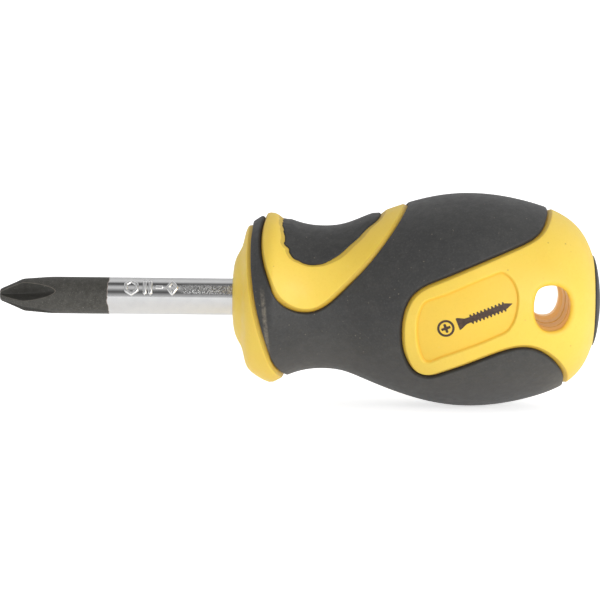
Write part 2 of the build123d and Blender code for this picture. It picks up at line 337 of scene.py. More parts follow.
def chart_mesh(prof, start, end, curves, offsets, grid, soft=()):
    """Triangulates the half chart [start, end] x [-T_MAX, T_MAX].

    The curves become edges, with rings of points at the offsets beside them.
    soft: [(curve, offsets)] get rings only. `grid` spaces the points between.
    """
    points, edges, index = [], [], {}

    def add(p):
        key = (round(float(p[0]), 4), round(float(p[1]), 4))
        if key not in index:
            index[key] = len(points)
            points.append(key)
        return index[key]

    def chain(ids, close=False):
        for a, b in zip(ids, ids[1:]):
            if a != b:
                edges.append((a, b))
        if close:
            edges.append((ids[-1], ids[0]))

    for s in (start, end):
        chain([add((s, t)) for t in np.linspace(-T_MAX, T_MAX, HALF_COLUMNS + 1)])
    ends = {1: [], -1: []}
    for line, closed in curves:
        chain([add(p) for p in line], closed)
        if not closed:
            for p in (line[0], line[-1]):
                ends[int(np.sign(p[1]))].append(float(p[0]))

    # seam edges, with closer stops where a curve meets the seam
    reach = sorted({abs(o) for o in offsets})
    for sign, met in ends.items():
        wanted = [w for e in met for o in reach for w in (e - o, e + o)]
        wanted += list(np.arange(start + grid, end - grid * 0.5, grid))
        stops = [start, end] + met
        for w in wanted:
            near_end = min((abs(w - e) for e in met), default=9) < 1.3
            free = min(abs(w - g) for g in stops) > (0.035 if near_end else 0.3)
            if start + 0.1 < w < end - 0.1 and free:
                stops.append(w)
        chain([add((w, sign * T_MAX)) for w in sorted(stops)])

    # candidates for inner points: rings beside the curves, then staggered rows
    candidates, rank = [], []
    rings = [(c, o, abs(o)) for c in curves for o in offsets]
    rings += [(c, o, SOFT_RANK) for c, soft_offsets in soft for o in soft_offsets]
    for curve, offset, ring_rank in rings:
        candidates.append(curve.points + prof.across(curve) * offset)
        rank.append(np.full(len(curve.points), ring_rank))
    for j, s in enumerate(np.arange(start + grid * 0.8, end - grid * 0.4, grid * 0.87)):
        r = float(prof.at(s)[1])
        m = max(8, int(round(2 * T_MAX * r / CHART_R / grid)))
        t = -T_MAX + (np.arange(m) + (0.25 if j % 2 else 0.75)) * (2 * T_MAX / m)
        candidates.append(np.c_[np.full(m, s), t])
        rank.append(np.full(m, GRID_RANK))
    candidates, rank = np.vstack(candidates), np.concatenate(rank)
    s, t = candidates.T
    k = prof.at(s)[1] / CHART_R
    ok = (s > start + 0.12) & (s < end - 0.12) & ((T_MAX - np.abs(t)) * k > 0.07)
    candidates, rank = candidates[ok], rank[ok]

    # clear of the curves
    P = prof.point(*candidates.T)
    from_curve, from_soft = np.full(len(P), 99.0), np.full(len(P), 99.0)
    for curve in curves:
        from_curve = np.minimum(from_curve, prof.distance(P, curve))
    for curve, _ in soft:
        from_soft = np.minimum(from_soft, prof.distance(P, curve))
    ok = np.where(rank == GRID_RANK, (from_curve > reach[-1] + 0.3) & (from_soft > 0.95),
                  np.where(rank < 0, from_curve > 0.25, from_curve > np.abs(rank) * 0.96))
    candidates, rank, P = candidates[ok], rank[ok], P[ok]
    for i in thin_out(P, rank):
        add(candidates[i])

    V, T = delaunay(points, edges)
    T = T[np.abs(double_area(V, T)) > 1e-9]
    return V, wind(V, T)


# ============================================================ mesh building
def circle(x, r):
    """Full turn starting at -Z, its first half on the -Y side."""
    a = np.linspace(-math.pi / 2, math.pi / 2, HALF_COLUMNS + 1)
    a = np.r_[a, math.pi - a[-2:0:-1]]
    return np.stack([np.full(len(a), x), -r * np.cos(a), r * np.sin(a)], -1)


class Builder:
    """Collects the vertices and faces of one piece, in mm."""
    def __init__(self):
        self.vertices, self.polygons, self.count, self.tags = [], [], 0, {}

    def add(self, points):
        points = np.asarray(points, float).reshape(-1, 3)
        ids = np.arange(self.count, self.count + len(points))
        self.vertices.append(points)
        self.count += len(points)
        return ids

    def tag(self, name, ids, values, default):
        """Stores one value per vertex for the materials, such as the distance to an edge."""
        self.tags.setdefault(name, (default, []))[1].append((ids, values))

    def faces(self, polygons):
        self.polygons += [tuple(int(k) for k in f) for f in polygons]

    def strip(self, a, b, flip=False):
        """Quads between two closed loops of the same length."""
        if flip:
            a, b = b, a
        self.faces(zip(a, np.roll(a, -1), np.roll(b, -1), b))

    def fan(self, loop, centre):
        hub = self.add([centre])[0]
        self.faces((a, b, hub) for a, b in zip(loop, np.roll(loop, -1)))

    def rings(self, loop, stations, flip=False):
        """Carries a loop through round stations (x, radius) and returns the last one."""
        for x, r in stations:
            new = self.add(circle(x, r))
            self.strip(loop, new, flip)
            loop = new
        return loop

    def build(self, name, sharp=38, flip=False):
        V = np.vstack(self.vertices) * MM
        me = bpy.data.meshes.new(name)
        me.from_pydata(V.tolist(), [], [f[::-1] for f in self.polygons] if flip else self.polygons)
        me.validate(verbose=False)
        # every face of a closed piece points outwards
        bm = bmesh.new()
        bm.from_mesh(me)
        bmesh.ops.recalc_face_normals(bm, faces=bm.faces)
        bm.to_mesh(me)
        bm.free()
        me.polygons.foreach_set("use_smooth", [True] * len(me.polygons))
        me.update()
        me.set_sharp_from_angle(angle=math.radians(sharp))
        for tag, (default, items) in self.tags.items():
            data = np.full(len(V), default, np.float32)
            for ids, values in items:
                data[ids] = values
            me.attributes.new(tag, "FLOAT", "POINT").data.foreach_set("value", data)
        o = bpy.data.objects.new(name, me)
        bpy.context.scene.collection.objects.link(o)
        return o


def directed_edges(tris):
    return [(int(a), int(b)) for t in tris for a, b in zip(t, (t[1], t[2], t[0]))]


def borders(tris, other=None):
    """Directed edges used by one triangle only, or only those shared with `other`."""
    own = dict.fromkeys(directed_edges(tris))
    out = [(a, b) for a, b in own if (b, a) not in own]
    if other is not None:
        shared = set(directed_edges(other))
        out = [(a, b) for a, b in out if (b, a) in shared]
    return out


class Sheet:
    """Copies of a chart's vertices at one height, on both halves, sharing the seam's.

    ids[0] holds the vertex ids of the -Y half, ids[1] those of the +Y half.
    """
    def __init__(self, builder, prof, V, tris, height):
        self.builder, self.V, self.tris = builder, V, tris
        self.used = np.unique(tris)
        self.ids = [np.full(len(V), -1), np.full(len(V), -1)]
        seam = np.abs(np.abs(V[:, 1]) - T_MAX) < 1e-3
        height = np.broadcast_to(height, (len(V),))
        free, shared = self.used[~seam[self.used]], self.used[seam[self.used]]
        for ids, part, side in ((self.ids[0], self.used, 1), (self.ids[1], free, -1)):
            ids[part] = builder.add(prof.point(V[part, 0], V[part, 1], height[part], side))
        self.ids[1][shared] = self.ids[0][shared]

    def tag(self, name, values, default=9.0):
        for ids in self.ids:
            self.builder.tag(name, ids[self.used], values[self.used], default)

    def lay(self, under=False):
        for side, ids in enumerate(self.ids):
            tris = ids[self.tris]
            self.builder.faces(tris[:, ::-1] if (side == 1) != under else tris)

    def walls(self, low, edges):
        """Quads from this sheet down to `low` along directed chart edges."""
        for a, b in edges:
            for side, (p, q) in enumerate(((b, a), (a, b))):
                top, bottom = self.ids[side], low.ids[side]
                self.builder.faces([(top[p], top[q], bottom[q], bottom[p])])

    def ring(self, s):
        """Full turn of vertex ids at the chart column s."""
        column = np.where(np.abs(self.V[:, 0] - s) < 1e-3)[0]
        column = column[np.argsort(self.V[column, 1])]
        return np.r_[self.ids[0][column], self.ids[1][column[-2:0:-1]]]

    def match(self, curve):
        """Chart indices of a curve's points."""
        return np.array([int(np.argmin(np.abs(self.V - np.round(p, 4)).sum(1)))
                         for p in curve.points])


# ============================================================ skin chart
profile_line = np.vstack([spline(NOSE, 0.02)[:-1], spline(COLLAR, 0.02)[:-1], spline(BODY, 0.02)])
SKIN = Profile(profile_line[profile_line[:, 1] >= SHAFT_R], sigma=0.20)
FINE = 0.002            # sampling of side view lines
# Waves of the pad's uneven edge: (weight, wavelength, phase).
PAD_WAVES = [(0.60, 2.7, 0.4), (0.45, 1.55, 2.1), (0.22, 0.95, 4.0), (0.35, 4.3, 1.3)]


def ragged(chart, run):
    """Mould flash: the thumb pad's front edge is uneven."""
    x = SKIN.at(chart[:, 0])[0]
    amplitude = 0.02 + 0.07 * np.clip((49.6 - x) / 2.0, 0, 1)
    wave = sum(weight * np.sin(2 * np.pi * run / length + phase)
               for weight, length, phase in PAD_WAVES)
    fade = np.clip(np.minimum(run, run[-1] - run) / 1.5, 0, 1)
    return amplitude * np.sign(wave) * np.abs(wave) ** 0.8 * fade


def open_edge(points, jitter=None):
    return SKIN.curve(smooth_line(spline(points, FINE), 0.35, FINE), jitter=jitter)


def outline(points, step):
    return SKIN.curve(spline(points, FINE, True), closed=True, step=step)


collar_edge = open_edge(COLLAR_EDGE)
ring_edge = open_edge(RING_EDGE)
pad_edge = open_edge(PAD_EDGE, ragged)
rear_edge = open_edge(REAR_EDGE)
hole = outline(HOLE_OUTLINE, step=0.24)
recess = outline(RECESS_OUTLINE, step=0.30)

S_START, S_END = float(SKIN.s_of(40.30)), float(SKIN.s_of(94.6))
EDGE_OFFSETS = [0.05, 0.14, 0.26, 0.42, 0.58, 0.70, 0.82, 1.00, 1.22]
RECESS_OFFSETS = [-0.45, -0.25, -0.14, -0.06, 0.02, 0.09, 0.17, 0.25, 0.38, 0.60]
V, T = chart_mesh(SKIN, S_START, S_END, [collar_edge, ring_edge, pad_edge, rear_edge, hole],
                  [-v for v in EDGE_OFFSETS] + EDGE_OFFSETS, grid=0.80,
                  soft=[(recess, RECESS_OFFSETS)])

surface = SKIN.point(*V.T)
from_collar, from_ring, from_pad, from_rear, from_hole, into_recess = (
    SKIN.distance(surface, c)
    for c in (collar_edge, ring_edge, pad_edge, rear_edge, hole, recess))
from_grip = np.minimum.reduce([from_collar, from_ring, from_rear])
into_recess = np.where(inside(V, recess.points), into_recess, -into_recess)


def over_top(edge):
    """Corners that close a curve beyond the top seam."""
    return [(edge.points[-1, 0], T_MAX + 1), (edge.points[0, 0], T_MAX + 1)]


FRONT_PART, GRIP_PART, RING_PART, PAD_PART, REAR_PART, HOLE_PART = range(6)
centres = V[T].mean(1)
region = np.full(len(T), GRIP_PART)
for part, edge, corners in (
        (FRONT_PART, collar_edge, [(S_START - 5, -T_MAX), (S_START - 5, T_MAX)]),
        (RING_PART, ring_edge, over_top(ring_edge)),
        (PAD_PART, pad_edge, over_top(pad_edge)),
        (REAR_PART, rear_edge, [(S_END + 5, -T_MAX), (S_END + 5, T_MAX)])):
    region[inside(centres, np.vstack([edge.points, corners]))] = part
region[inside(centres, hole.points)] = HOLE_PART
yellow_tris = T[np.isin(region, (FRONT_PART, RING_PART, REAR_PART))]
soft_tris = T[np.isin(region, (GRIP_PART, PAD_PART))]


# ---- heights over the profile
def bevel(d, width, depth, soft=0.13):
    """A chamfered edge: -depth on the edge, 0 from width inwards, with an eased shoulder."""
    q = 1 - d / width
    eased = np.where(q < -soft, 0, (q + soft) ** 2 / (4 * soft))
    return -depth * np.where(q > soft, q, eased)


def round_edge(d, width, depth):
    """A rounded edge: -depth on the edge, 0 from width inwards."""
    q = 1 - np.clip(d / width, 0, 1)
    return -depth * (1 - np.sqrt(np.clip(1 - q * q, 0, 1)))


def step(v):
    v = np.clip(v, 0, 1)
    return v * v * (3 - 2 * v)


skin_x = SKIN.at(V[:, 0])[0]
# the ring's inner chamfer is shallow, narrow at the pad's foot and wide along its rear arm
inner_width = np.interp(skin_x, [46.2, 47.6, 49.5, 51.5, 53.0, 55.0, 57.0, 59.0],
                        [0.85, 0.70, 0.48, 0.42, 0.55, 0.90, 1.12, 1.20])
inner_depth = np.interp(skin_x, [46.0, 50.0, 58.0, 60.5, 62.0], [0.14, 0.20, 0.18, 0.26, 0.40])
yellow_height = (bevel(from_collar, width=0.72, depth=0.56)
                 + bevel(from_ring, width=0.66, depth=0.56)
                 + bevel(from_pad, inner_width, inner_depth)
                 + bevel(from_rear, width=0.72, depth=0.56))
yellow_height = np.maximum(yellow_height + round_edge(from_hole, width=0.75, depth=0.62), -0.80)
yellow_height = yellow_height - RECESS_DEPTH * step((into_recess + 0.08) / 0.34)
grip_height = 0.01 + round_edge(from_grip, width=0.42, depth=0.52)
# the thumb pad swells towards its crown
pad_swell = 0.36 * step(from_pad / 1.5) * step((V[:, 1] / T_MAX - 0.45) / 0.5)
pad_height = -0.02 + pad_swell + round_edge(from_pad, width=0.30, depth=inner_depth * 0.8)

# ============================================================ handle body
REAR_CAP_X = CORE[-1][0]
CAP_R = 4.0             # inner ring of the flat floors
# Pocket of the butt pad: (x, radius).
BUTT_POCKET = [(96.60, 7.50), (96.52, 7.44), (96.3, 7.42), (95.28, 7.42), (95.28, CAP_R)]


def cavity_profile():
    line = spline(CORE, 0.05)
    x = line[:, 0]
    for groove_x in GROOVE_X:
        floor = np.interp(groove_x, *np.array(CORE).T) - GROOVE_DEPTH
        cut = (groove_x - GROOVE_HALF_WIDTH <= x) & (x <= groove_x + GROOVE_HALF_WIDTH)
        line[cut, 1] = np.minimum(line[cut, 1], floor)
    return Profile(line, step=0.05)


def handle_front(b, top):
    """Nose, bore and the cavity's front wall; returns the last loop."""
    stops = np.r_[np.arange(S_START - 0.25, 0.15, -0.25), 0.12, 0.0]
    shaft_bore, stem_bore = SHAFT_R + BORE_GAP, STEM_R + BORE_GAP
    core_x, core_r = CORE[0]
    stations = [SKIN.at(s) for s in stops] + [
        (38.12, shaft_bore), (STEM_START, shaft_bore), (STEM_START, stem_bore),
        (core_x, stem_bore), (core_x, 4.4), (core_x, core_r)]
    return b.rings(top.ring(S_START), stations, flip=True)


def handle_cavity(b, loop):
    """Cavity for the core, charted where the hole opens into it."""
    cavity = cavity_profile()
    start, end = float(cavity.s_of(85.0)), float(cavity.s_of(93.4))
    loop = b.rings(loop, [cavity.at(s) for s in np.arange(0.5, start - 0.3, 0.6)], flip=True)
    # the opening has the same vertices, seen from the side, as the skin's hole
    rim = SKIN.point(*hole.points.T)
    opening = Curve(cavity.to_chart(rim[:, 0], rim[:, 2]), True)
    points, tris = chart_mesh(cavity, start, end, [opening], [-0.5, 0.5], grid=1.2)
    tris = tris[~inside(points[tris].mean(1), opening.points)]
    sheet = Sheet(b, cavity, points, tris, 0.0)
    sheet.lay(under=True)
    b.strip(sheet.ring(start), loop)
    loop = b.rings(sheet.ring(end), [(REAR_CAP_X, cavity.r[-1]), (REAR_CAP_X, CAP_R)], flip=True)
    b.fan(loop[::-1], (REAR_CAP_X, 0, 0))
    return sheet, opening


def hole_walls(b, top, cavity, opening):
    rim, foot = top.match(hole), cavity.match(opening)
    for side in (0, 1):
        outer, inner = top.ids[side][rim], cavity.ids[side][foot]
        placed = np.vstack(b.vertices)
        previous = outer
        for share in (0.06, 0.2, 0.5):
            # seen from the side, the lip's foot reaches the opening's outline early
            eased = min(1.0, share * 5)
            wall = placed[outer] + (placed[inner] - placed[outer]) * (eased, share, eased)
            new = b.add(wall)
            b.strip(previous, new, flip=side == 1)
            previous = new
        b.strip(previous, inner, flip=side == 1)


def handle_rear(b, top):
    """From the chart's rear column to the butt pad's pocket."""
    last = SKIN.s[-1]
    stops = np.r_[np.arange(S_END + 0.4, last - 0.3, 0.35), last - 0.22, last - 0.12]
    loop = b.rings(top.ring(S_END), [SKIN.at(s) for s in stops] + BUTT_POCKET)
    b.fan(loop, (BUTT_POCKET[-1][0], 0, 0))


def handle_body():
    b = Builder()
    top = Sheet(b, SKIN, V, yellow_tris, yellow_height)
    low = Sheet(b, SKIN, V, soft_tris, -POCKET_DEPTH)
    top.tag("edge_mm", from_grip)
    top.tag("inner_edge_mm", from_pad * 1.10 / inner_width)
    top.tag("recess_mm", into_recess, default=-9.0)
    top.tag("lip_mm", from_hole)
    top.lay()
    low.lay()
    top.walls(low, borders(yellow_tris, soft_tris))
    loop = handle_front(b, top)
    cavity, opening = handle_cavity(b, loop)
    hole_walls(b, top, cavity, opening)
    handle_rear(b, top)
    return b.build("handle_shell")


handle = handle_body()


# ============================================================ soft plastic
def inlay(name, part, height, edge_mm):
    """A closed piece of soft plastic with its own floor, just above the pocket's."""
    b = Builder()
    tris = T[region == part]
    top = Sheet(b, SKIN, V, tris, height)
    low = Sheet(b, SKIN, V, tris, -POCKET_DEPTH + 0.01)
    top.tag("edge_mm", edge_mm)
    top.lay()
    low.lay(under=True)
    on_seam = np.abs(np.abs(V[:, 1]) - T_MAX) < 1e-3
    top.walls(low, [(p, q) for p, q in borders(tris) if not (on_seam[p] and on_seam[q])])
    return b.build(name)


grip = inlay("soft_grip", GRIP_PART, grip_height, from_grip)
# the painted shadow along the pad's joint is wider or narrower along its length
pad_shadow_mm = from_pad + np.interp(skin_x, [46.0, 51.0, 54.5], [0.10, 0.04, 0.26])
thumb = inlay("soft_thumb_pad", PAD_PART, pad_height, pad_shadow_mm)

# Butt pad: (x, radius) of its side and of its domed end.
BUTT_SIDE = [(96.30, 7.39), (96.64, 7.385), (96.74, 7.36), (96.82, 7.30), (96.88, 7.20)]
BUTT_DOME = [(96.88, 7.20), (97.12, 6.50), (97.42, 5.20), (97.68, 3.60), (97.86, 2.00),
             (97.95, 0.70)]
BUTT_FLOOR_X, BUTT_END_X = 95.30, 97.97


def butt_pad():
    b = Builder()
    loop = b.add(circle(BUTT_FLOOR_X, BUTT_SIDE[0][1]))
    b.fan(loop[::-1], (BUTT_FLOOR_X, 0, 0))
    loop = b.rings(loop, BUTT_SIDE + list(spline(BUTT_DOME, 0.3)[1:]))
    b.fan(loop, (BUTT_END_X, 0, 0))
    return b.build("soft_butt_pad", flip=True)


butt = butt_pad()

# ============================================================ blade
# Flutes are cut by a wheel rising from the tip.
WHEEL_R = 18.0
WHEEL_X = 1.5
FLUTE_ROOT = 0.53       # least radius left at the wheel's lowest point
FLUTE_HALF = math.radians(46)
FLUTE_TURN = math.radians(17.0)
FLUTE_ROUNDING = math.radians(13)
FLUTE_LIMIT = 10.0      # no flute beyond this x
# Cone behind the tip and its run into the shaft: (x, radius).
TAPER = [(0.30, 1.06), (3.60, 2.69), (3.90, 2.80), (4.25, 2.855), (8.80, 2.99), (9.30, SHAFT_R)]
# Two flat wings on the stem, above and below.
WING_START, WING_END = 60.0, 68.5
WING_SPAN = 5.2
WING_HALF_THICKNESS = 1.2
WING_CHAMFER = 1.6
BLADE_ANGLES = np.linspace(-math.pi, math.pi, 384, endpoint=False)
# Stations: (x, radius).
TIP = [(0.0, 0.45), (0.0, 0.66), (0.03, 0.76), (0.07, 0.84), (0.13, 0.90), (0.21, 0.985)]
TAPER_STOPS = [*np.arange(0.30, 9.9, 0.085), 11, 14, 17, 20, 23, 26, 29, 32, 35, 37.5]
SHOULDER = [(38.3, SHAFT_R), (STEM_START - 0.04, SHAFT_R), (STEM_START, SHAFT_R - 0.05),
            (STEM_START, STEM_R + 0.02), (STEM_START + 0.05, STEM_R)]
STEM_STOPS = [45, 52, 59.98, 60.0, 60.4, 60.8, 61.2, 61.6, 64.2, 66.9, 67.3, 67.7, 68.1, 68.5,
              68.52, 74, 79.0]


def smooth_min(a, b, k):
    h = np.clip(0.5 + 0.5 * (b - a) / k, 0, 1)
    return b * (1 - h) + a * h - k * h * (1 - h)


def blade_radius(x, base, angle):
    """Blade radius at x and angle (from -Y towards +Z)."""
    r = np.full(angle.shape, base)
    if x < FLUTE_LIMIT:
        root = FLUTE_ROOT + WHEEL_R - math.sqrt(WHEEL_R ** 2 - (x - WHEEL_X) ** 2)
        turn = (angle - FLUTE_TURN + math.pi / 4) % (math.pi / 2) - math.pi / 4
        turn = np.sqrt(turn ** 2 + FLUTE_ROUNDING ** 2)
        flute = root * math.sin(FLUTE_HALF) / np.sin(np.maximum(FLUTE_HALF - turn, 0.012))
        r = smooth_min(r, flute, 0.07 if x > 0.4 else 0.03)
    if WING_START <= x <= WING_END:
        from_end = min(x - WING_START, WING_END - x)
        span = WING_SPAN - WING_CHAMFER * max(0.0, 1 - from_end / WING_CHAMFER)
        across = WING_HALF_THICKNESS / np.maximum(np.abs(np.cos(angle)), 1e-6)
        r = np.maximum(r, np.minimum(across, span / np.maximum(np.abs(np.sin(angle)), 1e-6)))
    return r


def blade_bar():
    b = Builder()
    stations = TIP + [(x, np.interp(x, *np.array(TAPER).T)) for x in TAPER_STOPS] + SHOULDER
    stations += [(x, STEM_R) for x in STEM_STOPS] + [(STEM_END, STEM_R - 1.0)]
    loop = None
    for x, base in stations:
        r = blade_radius(x, base, BLADE_ANGLES)
        new = b.add(np.stack([np.full(len(r), x), -r * np.cos(BLADE_ANGLES),
                              r * np.sin(BLADE_ANGLES)], -1))
        b.tag("flute_mm", new, base - r if x < FLUTE_LIMIT else np.zeros(len(r)), default=0.0)
        if loop is None:
            b.fan(new, (0, 0, 0))
        else:
            b.strip(new, loop)
        loop = new
    b.fan(loop[::-1], (STEM_END, 0, 0))
    return b.build("blade_bar", sharp=50)


blade = blade_bar()

# ============================================================ raised marks on the shaft
MARK_ARC = math.radians(33) * SHAFT_R    # arc height of the marks' middle line
MARK_HEIGHT = 0.23
MARK_SINK = 0.06
OUTLINE_WIDTH = 0.62
BAR_WIDTH = 0.66
BAR_HALF = 1.15
# Straight bars: (x, arc) of both ends.
MARK_BARS = [((23.75, MARK_ARC - BAR_HALF), (23.75, MARK_ARC + BAR_HALF)),
             ((24.65, MARK_ARC - BAR_HALF), (24.65, MARK_ARC + BAR_HALF)),
             ((25.55, MARK_ARC), (26.65, MARK_ARC))]


def on_shaft(place, height):
    x, arc = place
    a = arc / SHAFT_R
    return x, -(SHAFT_R + height) * math.cos(a), (SHAFT_R + height) * math.sin(a)


def stroke(b, path, width, closed=False):
    """A raised rounded bead along a path of (x, arc) on the shaft."""
    P = np.array(path, float)
    if closed:
        along = np.roll(P, -1, 0) - np.roll(P, 1, 0)
    else:
        along = np.gradient(P, axis=0)
    along /= np.hypot(*along.T)[:, None]
    across = np.c_[-along[:, 1], along[:, 0]]
    section = [(math.cos(a) * width / 2, math.sin(a) * MARK_HEIGHT)
               for a in np.linspace(math.pi, 0, 9)]
    section += [(width / 2, -MARK_SINK), (-width / 2, -MARK_SINK)]
    loops = [b.add([on_shaft(p + n * w, h) for w, h in section]) for p, n in zip(P, across)]
    for one, other in zip(loops, loops[1:] + (loops[:1] if closed else [])):
        b.strip(other, one)
    if closed:
        return
    # each end: one shrunken loop, mirrored across the path, then a centre point
    reach = width * 0.30
    for i, out, flip in ((0, -along[0], False), (-1, along[-1], True)):
        new = b.add([on_shaft(P[i] + out * reach - across[i] * w * 0.55, h * 0.55 if h > 0 else h)
                     for w, h in section])
        b.strip(loops[i], new, flip)
        b.fan(new[::-1] if flip else new, on_shaft(P[i] + out * reach * 1.35, -MARK_SINK * 0.5))


def line_points(a, b, n):
    return [(a[0] + (b[0] - a[0]) * k / n, a[1] + (b[1] - a[1]) * k / n) for k in range(n + 1)]


def polygon_path(centre_x, half_x, half_arc, count, first):
    """Polygon round (centre_x, MARK_ARC), its first corner at `first` degrees."""
    angles = [math.radians(360 / count * k + first) for k in range(count + 1)]
    corners = [(centre_x + half_x * math.cos(a), MARK_ARC + half_arc * math.sin(a))
               for a in angles]
    return [p for a, b in zip(corners, corners[1:]) for p in line_points(a, b, 5)[:-1]]


def shaft_marks():
    """Hexagon, two upright bars, a short lengthwise bar and a diamond."""
    b = Builder()
    hexagon = polygon_path(centre_x=21.55, half_x=1.0, half_arc=1.18, count=6, first=30)
    diamond = polygon_path(centre_x=28.2, half_x=0.72, half_arc=1.1, count=4, first=0)
    stroke(b, hexagon, OUTLINE_WIDTH, closed=True)
    for start, end in MARK_BARS:
        stroke(b, line_points(start, end, 8), BAR_WIDTH)
    stroke(b, diamond, OUTLINE_WIDTH, closed=True)
    return b.build("shaft_forge_marks", sharp=60)


marks = shaft_marks()

# ============================================================ print in the label recess
PRINT_LIFT = 0.012      # above the recess floor
PRINT_THICK = 0.03
PRINT_ORIGIN = (72.12, -3.37)
PRINT_TILT = math.radians(21.5)


def print_shape(b, shape, holes=(), step_mm=0.2):
    """A thin patch on both halves; shape and holes are closed (x, z) polygons."""
    points, edges = [], []
    for polygon in (shape, *holes):
        line = resample(np.vstack([polygon, polygon[:1]]), step_mm)[:-1]
        first, n = len(points), len(line)
        points += [tuple(p) for p in line]
        edges += [(first + k, first + (k + 1) % n) for k in range(n)]
    (x0, z0), (x1, z1) = np.min(points, 0), np.max(points, 0)
    rims = np.array(points)
    for x in np.arange(x0, x1, 0.45):
        for z in np.arange(z0, z1, 0.45):
            if np.hypot(*(rims - (x, z)).T).min() > 0.2:
                points.append((x, z))
    flat, tris = delaunay(points, edges)
    middle = flat[tris].mean(1)
    keep = inside(middle, shape)
    for polygon in holes:
        keep &= ~inside(middle, polygon)
    tris = wind(flat, tris[keep])
    s, t = SKIN.to_chart(flat[:, 0], flat[:, 1]).T
    rim = borders(tris)
    height = -RECESS_DEPTH + PRINT_LIFT
    for side in (1, -1):
        top = b.add(SKIN.point(s, t, height, side))
        low = b.add(SKIN.point(s, t, height - PRINT_THICK, side))
        facing = tris[:, ::side]
        b.faces(top[facing])
        b.faces(low[facing[:, ::-1]])
        b.faces((top[q], top[p], low[p], low[q])[::side] for p, q in rim)


def tilted(polygon):
    c, s = math.cos(PRINT_TILT), math.sin(PRINT_TILT)
    x0, z0 = PRINT_ORIGIN
    return np.array([(x0 + x * c - z * s, z0 + x * s + z * c) for x, z in polygon])


def disc(r, n=40):
    return [(r * math.cos(2 * math.pi * k / n), r * math.sin(2 * math.pi * k / n))
            for k in range(n)]


def cross(r, w):
    return [(r, w), (w, w), (w, r), (-w, r), (-w, w), (-r, w), (-r, -w), (-w, -w), (-w, -r),
            (w, -r), (w, -w), (r, -w)]


def screw():
    """Countersunk head, shank with a saw edge of thread, point; along +x."""
    root, crest, pitch = 0.46, 0.86, 0.62
    upper = [(2.0, -1.02), (2.0, 1.02), (2.25, 1.02), (3.35, 0.50)]
    x = 4.2
    upper += [(x, root)]
    while x < 10.1:
        upper += [(x + 0.10, crest), (x + 0.28, crest), (x + 0.42, root), (x + pitch, root)]
        x += pitch
    upper += [(10.75, 0.30), (11.5, 0.0)]
    return upper + [(x, -z) for x, z in upper[2:-1]][::-1]


def label_print():
    b = Builder()
    print_shape(b, tilted(disc(1.40)), holes=[tilted(disc(1.03))])
    print_shape(b, tilted(cross(0.76, 0.21)))
    print_shape(b, tilted(screw()), step_mm=0.22)
    return b.build("label_print")


ink = label_print()


# ============================================================ shader helpers
def rgba(colour):
    return (*colour, 1.0) if isinstance(colour, tuple) else colour


class Shader:
    """Adds nodes to one tree; inputs take plain values or sockets."""
    def __init__(self, tree, main):
        self.tree = tree
        self.main = tree.nodes[main]

    def put(self, socket, value):
        if isinstance(value, bpy.types.NodeSocket):
            self.tree.links.new(value, socket)
        else:
            socket.default_value = value

    def node(self, kind, inputs, **settings):
        n = self.tree.nodes.new("ShaderNode" + kind)
        for key, value in settings.items():
            setattr(n, key, value)
        for key, value in inputs.items():
            self.put(n.inputs[key], value)
        return n

    def set(self, **values):
        """Sets inputs of the main node; underscores stand for spaces."""
        for key, value in values.items():
            self.put(self.main.inputs[key.replace("_", " ")], value)

    def math(self, operation, a, b=0.0, clamp=False):
        return self.node("Math", {0: a, 1: b}, operation=operation, use_clamp=clamp).outputs[0]

    def plus(self, a, b):
        return self.math("ADD", a, b)

    def minus(self, a, b):
        return self.math("SUBTRACT", a, b)

    def times(self, a, b):
        return self.math("MULTIPLY", a, b)

    def remap(self, value, span, to=(0.0, 1.0), kind="LINEAR"):
        inputs = dict(enumerate((value, *span, *to)))
        return self.node("MapRange", inputs, interpolation_type=kind).outputs[0]

    def ease(self, value, span, to=(0.0, 1.0)):
        return self.remap(value, span, to, "SMOOTHSTEP")

    def spread(self, noise, to=(0.0, 1.0)):
        """Stretches the range where noise mostly lies."""
        return self.remap(noise, (0.3, 0.7), to)

    def mix(self, a, b, amount):
        inputs = {0: amount, 6: rgba(a), 7: rgba(b)}
        return self.node("Mix", inputs, data_type="RGBA").outputs[2]

    def split(self, vector):
        return self.node("SeparateXYZ", {0: vector}).outputs

    def angle(self, y, z):
        """Angle round the tool's axis, from -Y towards +Z."""
        return self.math("ARCTAN2", z, self.times(y, -1.0))


class Material(Shader):
    """A Principled material textured by object coordinates in mm."""
    def __init__(self, name):
        self.material = bpy.data.materials.new(name)
        self.material.use_nodes = True
        super().__init__(self.material.node_tree, "Principled BSDF")
        place = self.node("TexCoord", {}).outputs["Object"]
        self.mm = self.node("VectorMath", {0: place, "Scale": 1000.0}, operation="SCALE").outputs[0]

    def stretched(self, x, y, z):
        return self.node("CombineXYZ", {0: x, 1: y, 2: z}).outputs[0]

    def noise(self, scale, detail=2.0, rough=0.5, vector=None):
        inputs = {"Scale": scale, "Detail": detail, "Roughness": rough,
                  "Vector": vector or self.mm}
        return self.node("TexNoise", inputs).outputs["Fac"]

    def cells(self, scale):
        """Random value of each cell, and the distance from its centre."""
        v = self.node("TexVoronoi", {"Scale": scale, "Vector": self.mm}).outputs
        return self.node("SeparateColor", {0: v["Color"]}).outputs[0], v["Distance"]

    def bump(self, height, strength, depth, normal=None):
        inputs = {"Strength": strength, "Distance": depth * MM, "Height": height}
        if normal is not None:
            inputs["Normal"] = normal
        return self.node("Bump", inputs).outputs[0]

    def occlusion(self, reach):
        inputs = {"Distance": reach * MM}
        return self.node("AmbientOcclusion", inputs, samples=5, inside=False).outputs["AO"]

    def attribute(self, name):
        return self.node("Attribute", {}, attribute_type="GEOMETRY",
                         attribute_name=name).outputs["Fac"]


